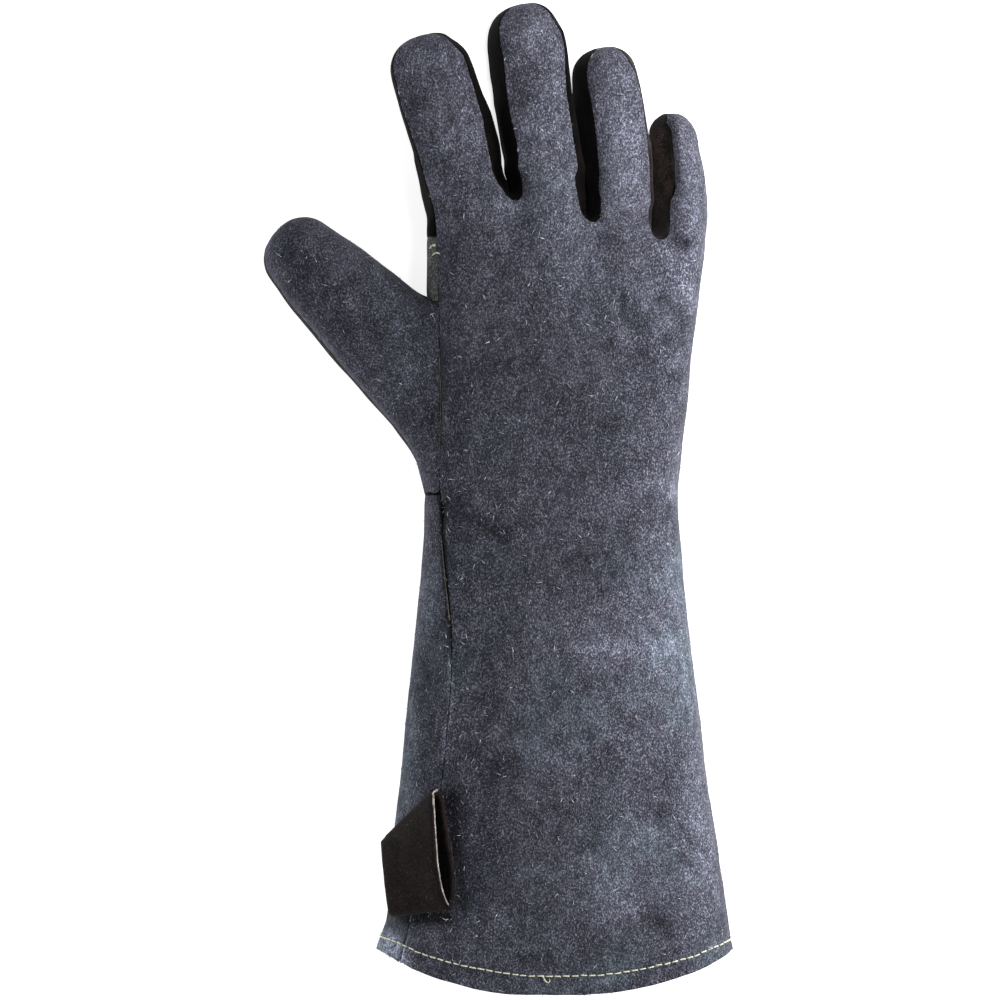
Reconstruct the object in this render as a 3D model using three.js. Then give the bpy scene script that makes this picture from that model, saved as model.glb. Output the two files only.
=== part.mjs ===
// Leather welding gauntlet for the right hand, lying on its palm with the back of the hand up.
// Millimetres, +Z up. Fingers point along +Y, the thumb along -X.
// One closed skin is laid out as rows of quads, thickened inwards, and cut along the seams into panels.
import * as THREE from "three";

// Gauntlet and hand
const leather = 2.0; // panel thickness
const seamGap = 0.4; // space left between two panels at a seam
const wristWidth = 103.5;
const wristHeight = 44;
const cuffLength = 186.5; // wrist line to the corners of the hem
const hemWidth = 145.5;
const hemHeight = 60;
const hemShift = 1.8; // hem's middle, towards the little finger
const hemSag = 17.6; // how far the hem's middle reaches past its corners
const hemCurve = 2.4; // 2 is a parabola, more is fuller towards the corners
const flareCurve = 1.3; // the cuff widens slowly at first
const knuckleReach = 110; // wrist line to the index finger's root at its outer seam
const knuckleWidth = 115;
const knuckleHeight = 35;
const knuckleShift = 6.5; // knuckles' middle, towards the little finger
const thumbTop = 79.3; // wrist line to the thumb's crotch
const tabTop = 105; // wrist line to the top of the tab above the thumb
const floorFlattening = 1.14; // the underside is pressed flat by this share of its depth
const waistShare = 0.42; // widest place of a section, share of its height
const undersidePower = 3.4; // roundness of the underside, as power in bodyRows
const knuckleValley = 5; // depth of the hollow behind each crotch
const valleyWidth = 8;
const valleyLength = 26;

// Fingers and thumb: length from the root line to the tip, width and height at mid length, lean towards the
// thumb in degrees, and the rounded tip's share of the length
const fingers = [
  { name: "index", length: 75.8, width: 34, height: 28, lean: 17, tip: 0.21 },
  { name: "middle", length: 84.8, width: 30.5, height: 29, lean: 9, tip: 0.18 },
  { name: "ring", length: 74.9, width: 28.5, height: 27, lean: 6.6, tip: 0.2 },
  { name: "little", length: 51.2, width: 23, height: 24, lean: 4.8, tip: 0.28 },
];
const thumb = { name: "thumb", length: 95.2, width: 40, height: 31, lean: 44.4, tip: 0.17 };
const tipRoundness = 2.3; // 2 is a half ellipse
const fingerSeamDrop = 4.5; // the back seam lies this far below the crown of the finger
const thumbSeamDrop = 9;
const palmSeamRise = 5; // the palm seam's height above the floor
const tipCentre = 0.44; // height of a tip's middle, share of the digit's height
const rightBulge = 1.8; // side walls bow out, more on the side towards the little finger
const leftBulge = 0.5;

// Hanging loop: a leather band folded in two and caught in the cuff's seam
const loopLeather = 1.8;
const loopWidth = 28.5; // along the slope of the cuff
const loopLength = 49; // cut edge towards the back of the hand
const loopInnerLength = 30; // other cut edge, shorter because the band is sewn on at a slant
const loopOpening = 7.5;
const loopTaper = 0.7; // opening at the lower cut edge, share of loopOpening
const loopBow = 0.8; // less is a fuller opening
const loopPinch = 0.2; // opening left where the two layers meet
const loopFoldLeather = 1.2; // leather outside the opening at its two ends, share of loopLeather
const loopSlope = 33; // degrees from the floor
const loopLean = 5.5; // degrees, upper end towards the thumb
const loopFold = 169; // wrist line to the band's fold
const loopInset = 5.4; // cuff's side to the band's lower cut edge
const loopClearance = 0.4;

// Sections of the gauntlet and hand. at: -1 hem, 0 wrist, 1 knuckles; height: share of the way between the
// named heights; power: roundness of the back; seam: back seam's inset from the thumb side, share of
// wristWidth
const bodyRows = [
  { at: -1, height: 1, power: 2.3, seam: 0.085 },
  { at: -0.64, height: 0.7, power: 2.35, seam: 0.165 },
  { at: -0.32, height: 0.34, power: 2.4, seam: 0.158 },
  { at: -0.12, height: 0.1, power: 2.45, seam: 0.087 },
  { at: 0, height: 0, power: 2.5, seam: 0.063 },
  { at: 0.36, height: 0.25, power: 2.6, seam: 0.062 },
  { at: 0.72, height: 0.6, power: 2.8, seam: 0.05 },
  { at: 1, height: 1, power: 3, seam: 0.036 },
];

// Crotches between the fingers. reach and rise are shares of knuckleReach, the others of knuckleWidth;
// the palm's crotch lies nearer the fingertips by rise, nearer the thumb by lean, and is narrower
const crotches = [
  { across: 0.317, reach: 1.1, gap: 0.022, palmGap: 0.012, lean: 0.036, rise: 0.07 },
  { across: 0.584, reach: 1.026, gap: 0.04, palmGap: 0.012, lean: 0.031, rise: 0.03 },
  { across: 0.8365, reach: 0.952, gap: 0.06, palmGap: 0.012, lean: 0.041, rise: 0.045 },
];
const littleRootReach = 0.964; // little finger's outer root, share of knuckleReach

// Sections of the digits. at: share of the length; slant: how far the outer edge runs ahead, share of half the
// width; the four edges are shares of the width from the middle line; height: share of the height
const digitRows = {
  index: [
    { at: 0.13, slant: 0.2, palmLeft: 0.54, backLeft: 0.455, backRight: 0.38, palmRight: 0.39, height: 1.13 },
    { at: 0.24, slant: 0.05, palmLeft: 0.515, backLeft: 0.455, backRight: 0.38, palmRight: 0.43, height: 1.06 },
    { at: 0.4, slant: 0, palmLeft: 0.49, backLeft: 0.45, backRight: 0.425, palmRight: 0.46, height: 1 },
    { at: 0.6, slant: 0, palmLeft: 0.5, backLeft: 0.47, backRight: 0.43, palmRight: 0.465, height: 0.98 },
  ],
  middle: [
    { at: 0.124, slant: -0.49, palmLeft: 0.545, backLeft: 0.39, backRight: 0.4, palmRight: 0.38, height: 1.11 },
    { at: 0.206, slant: -0.36, palmLeft: 0.575, backLeft: 0.36, backRight: 0.41, palmRight: 0.39, height: 1.06 },
    { at: 0.324, slant: -0.16, palmLeft: 0.585, backLeft: 0.35, backRight: 0.4, palmRight: 0.39, height: 1.01 },
    { at: 0.54, slant: 0, palmLeft: 0.56, backLeft: 0.38, backRight: 0.385, palmRight: 0.38, height: 0.98 },
    { at: 0.72, slant: 0, palmLeft: 0.545, backLeft: 0.36, backRight: 0.44, palmRight: 0.42, height: 0.96 },
  ],
  ring: [
    { at: 0.107, slant: -0.28, palmLeft: 0.52, backLeft: 0.37, backRight: 0.37, palmRight: 0.33, height: 1.1 },
    { at: 0.194, slant: -0.175, palmLeft: 0.535, backLeft: 0.33, backRight: 0.38, palmRight: 0.36, height: 1.05 },
    { at: 0.35, slant: -0.05, palmLeft: 0.55, backLeft: 0.29, backRight: 0.41, palmRight: 0.395, height: 1 },
    { at: 0.57, slant: 0, palmLeft: 0.575, backLeft: 0.27, backRight: 0.41, palmRight: 0.41, height: 0.97 },
    { at: 0.73, slant: 0, palmLeft: 0.555, backLeft: 0.3, backRight: 0.4, palmRight: 0.4, height: 0.95 },
  ],
  little: [
    { at: 0.137, slant: -0.17, palmLeft: 0.49, backLeft: 0.17, backRight: 0.4, palmRight: 0.45, height: 1.11 },
    { at: 0.26, slant: -0.05, palmLeft: 0.48, backLeft: 0.14, backRight: 0.425, palmRight: 0.475, height: 1.05 },
    { at: 0.48, slant: 0, palmLeft: 0.45, backLeft: 0.06, backRight: 0.425, palmRight: 0.475, height: 1 },
  ],
  thumb: [
    { at: 0.14, slant: 1.05, palmLeft: 0.6, backLeft: 0.53, backRight: 0.55, palmRight: 0.59, height: 1.02 },
    { at: 0.27, slant: 0.8, palmLeft: 0.54, backLeft: 0.475, backRight: 0.5, palmRight: 0.55, height: 1.03 },
    { at: 0.43, slant: 0.45, palmLeft: 0.51, backLeft: 0.44, backRight: 0.47, palmRight: 0.53, height: 1.02 },
    { at: 0.61, slant: 0.12, palmLeft: 0.48, backLeft: 0.4, backRight: 0.43, palmRight: 0.49, height: 0.98 },
    { at: 0.74, slant: 0, palmLeft: 0.445, backLeft: 0.37, backRight: 0.4, palmRight: 0.445, height: 0.94 },
  ],
};
const tipRow = {
  index: { palmLeft: 0.5, backLeft: 0.465, backRight: 0.42, palmRight: 0.445, height: 0.94 },
  middle: { palmLeft: 0.525, backLeft: 0.375, backRight: 0.43, palmRight: 0.415, height: 0.94 },
  ring: { palmLeft: 0.52, backLeft: 0.31, backRight: 0.375, palmRight: 0.375, height: 0.93 },
  little: { palmLeft: 0.47, backLeft: 0.06, backRight: 0.36, palmRight: 0.4, height: 0.94 },
  thumb: { palmLeft: 0.4, backLeft: 0.33, backRight: 0.36, palmRight: 0.4, height: 0.9 },
};
const tipSteps = [0, 0.4, 0.68, 0.87, 0.97]; // sections of the rounded tip, share of its length

// Soft dents in the back. across: -1 thumb's side, 1 little finger's; along as in bodyRows; width and length
// are shares of the half width and of the cuff or hand, depth of wristHeight
const dents = [
  { across: 0.05, along: 0.02, width: 0.5, length: 0.07, depth: 0.036 },
  { across: 0.62, along: 0.72, width: 0.12, length: 0.22, depth: 0.05 },
  { across: -0.5, along: -0.4, width: 0.1, length: 0.35, depth: 0.04 },
  { across: 0.45, along: -0.3, width: 0.3, length: 0.12, depth: 0.032 },
  { across: -0.1, along: -0.62, width: 0.4, length: 0.1, depth: 0.03 },
];

// Mesh steps
const stripColumns = 4; // columns of quads on the back of each finger
const gapSpan = 0.4; // width of the column behind a crotch at the wrist, against a finger's column
const wallSteps = 4; // rows of quads down a side wall
const thumbRows = 8;
const tabRows = 3;
const cuffRows = 11;
const loopSections = 4;
const loopSteps = 8;
const rightSeamAngle = 32; // degrees on the section, where the back's columns end
const undersideAngle = 38;
const mitreLimit = 0.42; // the inner corner of a sharp edge is drawn in no further than for this cosine
const cornerLimit = 0.5; // the same for a panel's corner along its seams
const seatStep = 2; // degrees between the places where the loop is tried against the cuff

const lerp = THREE.MathUtils.lerp;
const radians = THREE.MathUtils.degToRad;

// Values of a table at a place between its rows
function between(table, at) {
  let i = 0;
  while (i < table.length - 2 && at > table[i + 1].at) i += 1;
  const [a, b] = [table[i], table[i + 1]];
  const t = THREE.MathUtils.clamp((at - a.at) / (b.at - a.at), 0, 1);
  const row = {};
  for (const key of Object.keys(a)) row[key] = lerp(a[key], b[key], t);
  return row;
}

// Section of the gauntlet and hand at a distance from the wrist line
function bodySection(y) {
  const at = y < 0 ? y / cuffLength : y / knuckleReach;
  const row = between(bodyRows, THREE.MathUtils.clamp(at, -1, 1));
  const flare = y < 0 ? Math.pow(-at, flareCurve) : at;
  const width = lerp(wristWidth, y < 0 ? hemWidth : knuckleWidth, flare);
  const height = lerp(wristHeight, y < 0 ? hemHeight : knuckleHeight, row.height);
  const middle = (y < 0 ? hemShift : knuckleShift) * flare;
  return {
    at,
    middle,
    half: width / 2,
    waist: height * waistShare,
    crown: height * (1 - waistShare),
    power: row.power,
    seamX: middle - width / 2 + row.seam * wristWidth,
  };
}

function crotchX(crotch) {
  return knuckleShift + (crotch.across - 0.5) * knuckleWidth;
}

// Height of the back at a place on the gauntlet or hand
function backHeight(x, y) {
  const s = bodySection(y);
  const across = THREE.MathUtils.clamp((x - s.middle) / s.half, -1, 1);
  let z = s.waist + s.crown * Math.pow(1 - Math.pow(Math.abs(across), s.power), 1 / s.power);
  const inside = 1 - Math.pow(Math.abs(across), 4);
  for (const dent of dents) {
    const dx = (across - dent.across) / dent.width;
    const dy = (s.at - dent.along) / dent.length;
    z -= dent.depth * wristHeight * inside * Math.exp(-dx * dx - dy * dy);
  }
  for (const crotch of crotches) {
    const dx = (x - crotchX(crotch)) / valleyWidth;
    const dy = Math.max(0, crotch.reach * knuckleReach - y) / valleyLength;
    z -= knuckleValley * inside * Math.exp(-dx * dx - dy * dy);
  }
  return z;
}

// A point on the section by its angle: 0 little finger's side, 90 back, 180 thumb's side, 270 underside
function sectionPoint(y, degrees) {
  const s = bodySection(y);
  const cos = Math.cos(radians(degrees));
  const sin = Math.sin(radians(degrees));
  const power = sin >= 0 ? s.power : undersidePower;
  const x = s.middle + s.half * Math.sign(cos) * Math.pow(Math.abs(cos), 2 / power);
  const lift = Math.pow(Math.abs(sin), 2 / power);
  const z = sin >= 0 ? s.waist + s.crown * lift : s.waist * (1 - floorFlattening * lift);
  return { x, z: Math.max(0, z) };
}

function seamAngle(y) {
  const s = bodySection(y);
  const across = (s.middle - s.seamX) / s.half;
  return 180 - THREE.MathUtils.radToDeg(Math.acos(Math.pow(across, s.power / 2)));
}

// The skin: points, and quads or triangles that each belong to one panel
const skin = { points: [], faces: [] };

function addPoint(x, y, z) {
  skin.points.push(new THREE.Vector3(x, y, z));
  return skin.points.length - 1;
}

// Joins two rings of points, the first one nearer the fingertips
function joinRings(ahead, behind, panelOf) {
  ahead.forEach((id, i) => {
    const next = (i + 1) % ahead.length;
    const panel = panelOf(i);
    if (panel) skin.faces.push({ panel, corners: [id, behind[i], behind[next], ahead[next]] });
  });
}

// Borders between columns at the knuckles, on the back and on the palm: x, reach and place at the wrist
function rootLine(level, startX, endX) {
  const onPalm = level === "palm";
  const stops = [{ x: startX, reach: 1 }];
  for (const crotch of crotches) {
    const x = crotchX(crotch) - (onPalm ? crotch.lean * knuckleWidth : 0);
    const reach = crotch.reach + (onPalm ? crotch.rise : 0);
    const halfGap = ((onPalm ? crotch.palmGap : crotch.gap) * knuckleWidth) / 2;
    stops.push({ x: x - halfGap, reach, plain: crotch.reach });
    stops.push({ x: x + halfGap, reach, plain: crotch.reach });
  }
  stops.push({ x: endX, reach: littleRootReach });
  const line = [{ ...stops[0], plain: 1, span: 0 }];
  for (let i = 0; i + 1 < stops.length; i += 1) {
    const isFinger = i % 2 === 0;
    const steps = isFinger ? stripColumns : 1;
    const a = stops[i];
    const b = stops[i + 1];
    for (let k = 1; k <= steps; k += 1) {
      const plain = lerp(a.plain ?? a.reach, b.plain ?? b.reach, k / steps);
      const reach = k === steps ? b.reach : plain;
      const span = line[line.length - 1].span + (isFinger ? 1 : gapSpan);
      line.push({ x: lerp(a.x, b.x, k / steps), reach, plain, span });
    }
  }
  const whole = line[line.length - 1].span;
  return line.map((stop) => {
    return { ...stop, place: (stop.x - startX) / (endX - startX), wristPlace: stop.span / whole };
  });
}

const rootEndY = littleRootReach * knuckleReach;
const backEndX = sectionPoint(rootEndY, rightSeamAngle).x;
const backLine = rootLine("back", bodySection(knuckleReach).seamX, backEndX);
const palmLine = rootLine(
  "palm",
  sectionPoint(knuckleReach, 180 + undersideAngle).x,
  sectionPoint(rootEndY, -undersideAngle).x,
);
const columns = backLine.length - 1;

// Rows of the hand and cuff, from the knuckles to the hem, as shares of knuckleReach or, below 0, of cuffLength
const rowShares = [1];
for (let i = 0; i <= tabRows; i += 1) rowShares.push(lerp(tabTop, thumbTop, i / tabRows) / knuckleReach);
for (let i = 1; i <= thumbRows; i += 1) rowShares.push(lerp(thumbTop, 0, i / thumbRows) / knuckleReach);
for (let i = 1; i <= cuffRows; i += 1) rowShares.push(-i / cuffRows);
const crotchRow = 1 + tabRows; // row at the thumb's crotch
const wristRow = crotchRow + thumbRows;

function bodyRow(share, isRoot) {
  const ahead = Math.max(0, share);
  const rowY = (reach) => (share < 0 ? share * cuffLength : share * reach * knuckleReach);
  const sagged = (x, y) => {
    const s = bodySection(y);
    const inside = 1 - Math.pow(Math.abs(x - s.middle) / s.half, hemCurve);
    return share < 0 ? y - hemSag * share * share * inside : y;
  };
  const back = backLine.map((stop) => {
    const y = rowY(stop.plain);
    const place = lerp(stop.wristPlace, stop.place, ahead);
    const x = lerp(bodySection(y).seamX, sectionPoint(y, rightSeamAngle).x, place);
    return addPoint(x, sagged(x, y), backHeight(x, y));
  });
  const wall = (y, from, to) => {
    const ids = [];
    for (let k = 1; k < wallSteps; k += 1) {
      const { x, z } = sectionPoint(y, lerp(from, to, k / wallSteps));
      ids.push(addPoint(x, sagged(x, y), z));
    }
    return ids;
  };
  const rightY = rowY(backLine[columns].plain);
  const leftY = rowY(backLine[0].plain);
  const outer = wall(rightY, rightSeamAngle, -undersideAngle);
  const palm = [...palmLine].reverse().map((stop, i) => {
    const y = rowY(isRoot ? stop.reach : stop.plain);
    const left = sectionPoint(y, 180 + undersideAngle);
    const right = sectionPoint(y, -undersideAngle);
    const x = lerp(left.x, right.x, lerp(stop.wristPlace, stop.place, ahead));
    const isEdge = i === 0 || i === columns;
    const isCrotch = isRoot && !isEdge && stop.reach !== stop.plain;
    return addPoint(x, sagged(x, y), isEdge ? right.z : isCrotch ? palmSeamRise / 2 : 0);
  });
  const inner = wall(leftY, 180 + undersideAngle, seamAngle(leftY));
  return { back, outer, palm, inner, ring: [...back, ...outer, ...palm, ...inner] };
}

const rows = rowShares.map((share, j) => bodyRow(share, j === 0));

// Panel of each quad between two rows of the hand and cuff
function bodyPanel(j) {
  const underside = j >= wristRow ? "cuff_underside" : "palm_panel";
  return (i) => {
    if (i < columns + wallSteps / 2) return "back_panel";
    if (i < 2 * columns + wallSteps || j >= wristRow) return underside;
    if (j >= crotchRow) return null;
    return j === 0 ? "index_side_strip" : "thumb_crotch_tab";
  };
}
for (let j = 0; j + 1 < rows.length; j += 1) joinRings(rows[j].ring, rows[j + 1].ring, bodyPanel(j));

// Walls at the three crotches: down the near finger's side, across the crotch, up the next finger's side
const fourchettes = ["fourchette_index_middle", "fourchette_middle_ring", "fourchette_ring_little"];
const rootColumn = (crotch, side) => (stripColumns + 1) * (crotch + 1) - (side === "near" ? 1 : 0);

function crotchWall(column) {
  const top = skin.points[rows[0].back[column]];
  const bottom = skin.points[rows[0].palm[columns - column]];
  const ids = [rows[0].back[column]];
  for (let k = 1; k < wallSteps; k += 1) {
    const p = top.clone().lerp(bottom, k / wallSteps);
    ids.push(addPoint(p.x, p.y, p.z));
  }
  return [...ids, rows[0].palm[columns - column]];
}

const crotchWalls = fourchettes.map((panel, f) => {
  const near = crotchWall(rootColumn(f, "near"));
  const far = crotchWall(rootColumn(f, "far"));
  for (let k = 0; k < wallSteps; k += 1) {
    skin.faces.push({ panel, corners: [near[k], far[k], far[k + 1], near[k + 1]] });
  }
  return { near: near.slice(1, -1), far: far.slice(1, -1).reverse() };
});

// Middle line of a digit, its sideways direction, and its sections from the root to the tip
function digitFrame(digit, root) {
  const first = skin.points[root.back[0]];
  const last = skin.points[root.back[root.back.length - 1]];
  const start = first.clone().add(last).multiplyScalar(0.5).setZ(0);
  const lean = radians(digit.lean);
  return {
    start,
    along: new THREE.Vector3(-Math.sin(lean), Math.cos(lean), 0),
    side: new THREE.Vector3(Math.cos(lean), Math.sin(lean), 0),
    midHeight: digit.height * tipCentre,
  };
}

function digitStations(digit) {
  const stations = digitRows[digit.name].map((row) => ({ ...row, shrink: 1 }));
  for (const step of tipSteps) {
    const shrink = Math.pow(1 - Math.pow(step, tipRoundness), 1 / tipRoundness);
    stations.push({ ...tipRow[digit.name], at: 1 - digit.tip * (1 - step), slant: 0, shrink });
  }
  return stations;
}

// One section of a digit: over the back, down the right wall, across the palm and up the left wall
function digitRing(digit, frame, station, count, seamDrop) {
  const { start, along, side, midHeight } = frame;
  const place = (edge, z) => {
    const ahead = station.at * digit.length + (Math.sign(edge) * station.slant * digit.width) / 2;
    const p = start.clone().addScaledVector(along, ahead);
    return p.addScaledVector(side, edge * digit.width * station.shrink).setZ(lerp(midHeight, z, station.shrink));
  };
  const seam = digit.height * station.height - seamDrop;
  const topLeft = place(-station.backLeft, seam);
  const topRight = place(station.backRight, seam);
  const lowRight = place(station.palmRight, palmSeamRise);
  const lowLeft = place(-station.palmLeft, palmSeamRise);
  const arch = seamDrop * station.shrink;
  const points = [];
  for (let c = 0; c <= count; c += 1) {
    const s = c / count;
    const p = topLeft.clone().lerp(topRight, s);
    points.push(p.setZ(p.z + arch * (1 - Math.pow(2 * s - 1, 2))));
  }
  for (let k = 1; k < wallSteps; k += 1) {
    const bulge = rightBulge * station.shrink * Math.sin((Math.PI * k) / wallSteps);
    points.push(topRight.clone().lerp(lowRight, k / wallSteps).addScaledVector(side, bulge));
  }
  for (let c = count; c >= 0; c -= 1) {
    const p = lowLeft.clone().lerp(lowRight, c / count);
    points.push(c > 0 && c < count ? p.setZ(midHeight * (1 - station.shrink)) : p);
  }
  for (let k = 1; k < wallSteps; k += 1) {
    const bulge = leftBulge * station.shrink * Math.sin((Math.PI * k) / wallSteps);
    points.push(lowLeft.clone().lerp(topLeft, k / wallSteps).addScaledVector(side, -bulge));
  }
  return points.map((p) => addPoint(p.x, p.y, p.z));
}

function addDigit(digit, root, seamDrop, panelOf, tipPanelOf) {
  const frame = digitFrame(digit, root);
  let ring = [...root.back, ...root.right, ...root.palm, ...root.left];
  for (const station of digitStations(digit)) {
    const next = digitRing(digit, frame, station, root.back.length - 1, seamDrop);
    joinRings(next, ring, panelOf);
    ring = next;
  }
  const pole = frame.start.clone().addScaledVector(frame.along, digit.length);
  const tip = addPoint(pole.x, pole.y, frame.midHeight);
  ring.forEach((id, i) => {
    skin.faces.push({ panel: tipPanelOf(i), corners: [tip, id, ring[(i + 1) % ring.length]] });
  });
}

// Which panel a quad of a digit belongs to; a wall without its own panel is shared by back and palm
function digitPanels(count, names) {
  const half = wallSteps / 2;
  return (i) => {
    if (i < count) return names.back;
    if (i < count + wallSteps) return names.right ?? (i < count + half ? names.back : names.palm);
    if (i < 2 * count + wallSteps) return names.palm;
    return names.left ?? (i < 2 * count + wallSteps + half ? names.palm : names.back);
  };
}

fingers.forEach((finger, f) => {
  const from = f * (stripColumns + 1);
  const to = from + stripColumns;
  const isLast = f === fingers.length - 1;
  const root = {
    back: rows[0].back.slice(from, to + 1),
    right: isLast ? rows[0].outer : crotchWalls[f].near,
    palm: rows[0].palm.slice(columns - to, columns - from + 1),
    left: f === 0 ? rows[0].inner : crotchWalls[f - 1].far,
  };
  const plain = { back: "back_panel", palm: "palm_panel" };
  const names = { ...plain, left: f === 0 ? "index_side_strip" : fourchettes[f - 1] };
  if (!isLast) names.right = fourchettes[f];
  addDigit(finger, root, fingerSeamDrop, digitPanels(stripColumns, names), digitPanels(stripColumns, plain));
});

const thumbSpan = rows.slice(crotchRow, wristRow + 1);
const thumbRoot = {
  back: thumbSpan.map((row) => row.back[0]).reverse(),
  right: [...rows[crotchRow].inner].reverse(),
  palm: thumbSpan.map((row) => row.palm[columns]),
  left: rows[wristRow].inner,
};
const thumbPanels = digitPanels(thumbRows, { back: "thumb_back", palm: "thumb_front" });
addDigit(thumb, thumbRoot, thumbSeamDrop, thumbPanels, thumbPanels);

// Inner side of the leather: each point moves inwards, further where panels meet at an angle
function faceNormal({ corners }) {
  const p = corners.map((id) => skin.points[id]);
  const a = p[2].clone().sub(p[0]);
  const b = p.length === 4 ? p[3].clone().sub(p[1]) : p[1].clone().sub(p[2]);
  return p.length === 4 ? a.cross(b).normalize() : b.cross(a).normalize();
}

function innerPoints() {
  const around = skin.points.map(() => []);
  for (const face of skin.faces) {
    const normal = faceNormal(face);
    for (const id of face.corners) around[id].push(normal);
  }
  return skin.points.map((point, id) => {
    const mean = around[id].reduce((sum, n) => sum.add(n), new THREE.Vector3()).normalize();
    const least = Math.min(...around[id].map((n) => n.dot(mean)));
    return point.clone().addScaledVector(mean, -leather / Math.max(mitreLimit, least));
  });
}

function solid(name, position, colour, roughness) {
  const geometry = new THREE.BufferGeometry();
  geometry.setAttribute("position", new THREE.Float32BufferAttribute(position, 3));
  geometry.computeVertexNormals();
  const material = new THREE.MeshStandardMaterial({ color: colour, roughness, metalness: 0 });
  const mesh = new THREE.Mesh(geometry, material);
  mesh.name = name;
  return mesh;
}

// One panel as a closed solid: its part of the skin, drawn back from its seams and thickened
function panelMesh(name, inner, colour, roughness) {
  const faces = skin.faces.filter((face) => face.panel === name);
  const edges = new Map();
  for (const face of faces) {
    face.corners.forEach((a, i) => {
      const b = face.corners[(i + 1) % face.corners.length];
      edges.set(`${a},${b}`, { a, b, face });
    });
  }
  const border = [...edges.values()].filter(({ a, b }) => !edges.has(`${b},${a}`));
  const pulls = new Map();
  for (const { a, b, face } of border) {
    const run = skin.points[b].clone().sub(skin.points[a]).normalize();
    const inwards = faceNormal(face).cross(run).normalize();
    for (const id of [a, b]) pulls.set(id, [...(pulls.get(id) ?? []), inwards]);
  }
  const drawnBack = (points, id) => {
    const ways = pulls.get(id);
    if (!ways) return points[id];
    const mean = ways.reduce((sum, way) => sum.add(way), new THREE.Vector3()).normalize();
    const least = Math.min(...ways.map((way) => way.dot(mean)));
    return points[id].clone().addScaledVector(mean, seamGap / 2 / Math.max(cornerLimit, least));
  };
  const position = [];
  const triangle = (...corners) => corners.forEach((p) => position.push(p.x, p.y, p.z));
  for (const { corners } of faces) {
    const out = corners.map((id) => drawnBack(skin.points, id));
    const back = corners.map((id) => drawnBack(inner, id));
    for (let i = 1; i + 1 < corners.length; i += 1) {
      triangle(out[0], out[i], out[i + 1]);
      triangle(back[0], back[i + 1], back[i]);
    }
  }
  for (const { a, b } of border) {
    const [outA, outB] = [drawnBack(skin.points, a), drawnBack(skin.points, b)];
    const [inA, inB] = [drawnBack(inner, a), drawnBack(inner, b)];
    if (a < b) {
      triangle(outB, outA, inA);
      triangle(outB, inA, inB);
    } else {
      triangle(outB, outA, inB);
      triangle(outA, inA, inB);
    }
  }
  return solid(name, position, colour, roughness);
}

// Hanging loop. Each section across its width is a pointed ring, flat below and bowed above
function loopMesh(colour, roughness) {
  const slope = radians(loopSlope);
  const off = { x: -Math.sin(slope), z: Math.cos(slope) };
  const foldX = sectionPoint(-loopFold, 180).x + loopInset;
  // Distance of the band's underside along the slope's normal, clear of the cuff
  const seatAt = (y) => {
    let most = -Infinity;
    for (let degrees = 90; degrees <= 200; degrees += seatStep) {
      const p = sectionPoint(y, degrees);
      most = Math.max(most, p.x * off.x + p.z * off.z);
    }
    return most + loopClearance;
  };
  const outline = (s, isHole) => {
    const length = lerp(loopLength, loopInnerLength, s);
    const margin = isHole ? (loopLeather * loopFoldLeather) / length : 0;
    const placeAt = (k) => lerp(margin, 1 - margin, k / loopSteps);
    const pointAt = (u, height) => {
      const y = -loopFold + u * length;
      const lowX = foldX - Math.tan(radians(loopLean)) * u * length;
      const x = lowX + Math.cos(slope) * loopWidth * (1 - s);
      const z = (seatAt(y) - x * off.x) / off.z;
      return new THREE.Vector3(x + height * off.x, y, z + height * off.z);
    };
    const upper = (u) => {
      const bow = loopOpening * lerp(1, loopTaper, s) * Math.pow(Math.sin(Math.PI * u), loopBow);
      return isHole ? loopLeather + Math.max(bow, loopPinch) : 2 * loopLeather + bow;
    };
    const points = [];
    for (let k = 0; k <= loopSteps; k += 1) points.push(pointAt(placeAt(k), isHole ? loopLeather : 0));
    for (let k = loopSteps; k >= 0; k -= 1) points.push(pointAt(placeAt(k), upper(placeAt(k))));
    return points;
  };
  const position = [];
  const quad = (a, b, c, d) => [a, b, c, a, c, d].forEach((p) => position.push(p.x, p.y, p.z));
  const sections = [];
  for (let i = 0; i <= loopSections; i += 1) {
    const s = i / loopSections;
    sections.push({ out: outline(s, false), hole: outline(s, true) });
  }
  const count = sections[0].out.length;
  for (let k = 0; k < count; k += 1) {
    const n = (k + 1) % count;
    for (let i = 0; i < loopSections; i += 1) {
      const [a, b] = [sections[i], sections[i + 1]];
      quad(a.out[k], b.out[k], b.out[n], a.out[n]);
      quad(a.hole[n], b.hole[n], b.hole[k], a.hole[k]);
    }
    const [first, last] = [sections[0], sections[loopSections]];
    quad(first.out[n], first.hole[n], first.hole[k], first.out[k]);
    quad(last.out[k], last.hole[k], last.hole[n], last.out[n]);
  }
  return solid("hanging_loop", position, colour, roughness);
}

const slate = 0x50525f;
const soot = 0x26221f;
const glove = new THREE.Group();
const inner = innerPoints();
for (const name of ["back_panel", "thumb_back", "thumb_crotch_tab", "cuff_underside"]) {
  glove.add(panelMesh(name, inner, slate, 0.95));
}
for (const name of ["palm_panel", "thumb_front", "index_side_strip", ...fourchettes]) {
  glove.add(panelMesh(name, inner, soot, 0.9));
}
glove.add(loopMesh(soot, 0.85));

// Origin under the middle of the gauntlet, on the surface that it lies on
const bounds = new THREE.Box3().setFromObject(glove);
const centre = bounds.getCenter(new THREE.Vector3());
glove.position.set(-centre.x, -centre.y, -bounds.min.z);

export default glove;
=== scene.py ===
import bpy
import bmesh
import math
import random
import numpy as np
from mathutils import Vector, Matrix, noise as smoothNoise
from mathutils.bvhtree import BVHTree
from mathutils.kdtree import KDTree


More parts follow.
